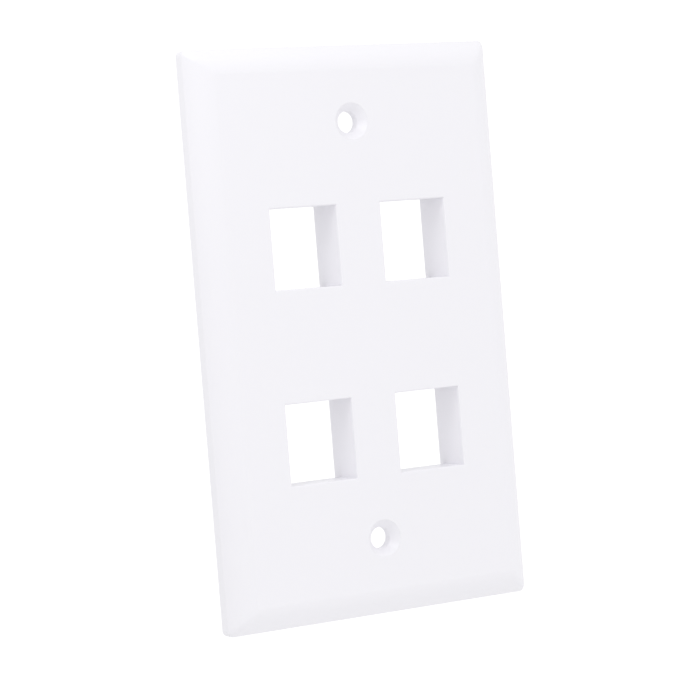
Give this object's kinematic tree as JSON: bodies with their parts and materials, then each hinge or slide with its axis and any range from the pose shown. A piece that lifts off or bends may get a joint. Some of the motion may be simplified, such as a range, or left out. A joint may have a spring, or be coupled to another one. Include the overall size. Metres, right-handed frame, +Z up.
{
  "type": "keystone faceplate",
  "caption": "Single-gang wall plate with snap-in ports for keystone jacks and countersunk screw holes, one hollow moulding with a bevelled edge.",
  "frame": {"origin": "on the wall plane, midway between the two screw holes", "axes": "+X to the right seen from the front, +Y into the wall, +Z up"},
  "size_m": [0.0698, 0.009, 0.1142],
  "materials": {
    "white_plastic": "semi-gloss moulded ABS, white with a slightly cool cast"
  },
  "bodies": {
    "root": {"faceplate": "white_plastic"}
  },
  "joints": []
}
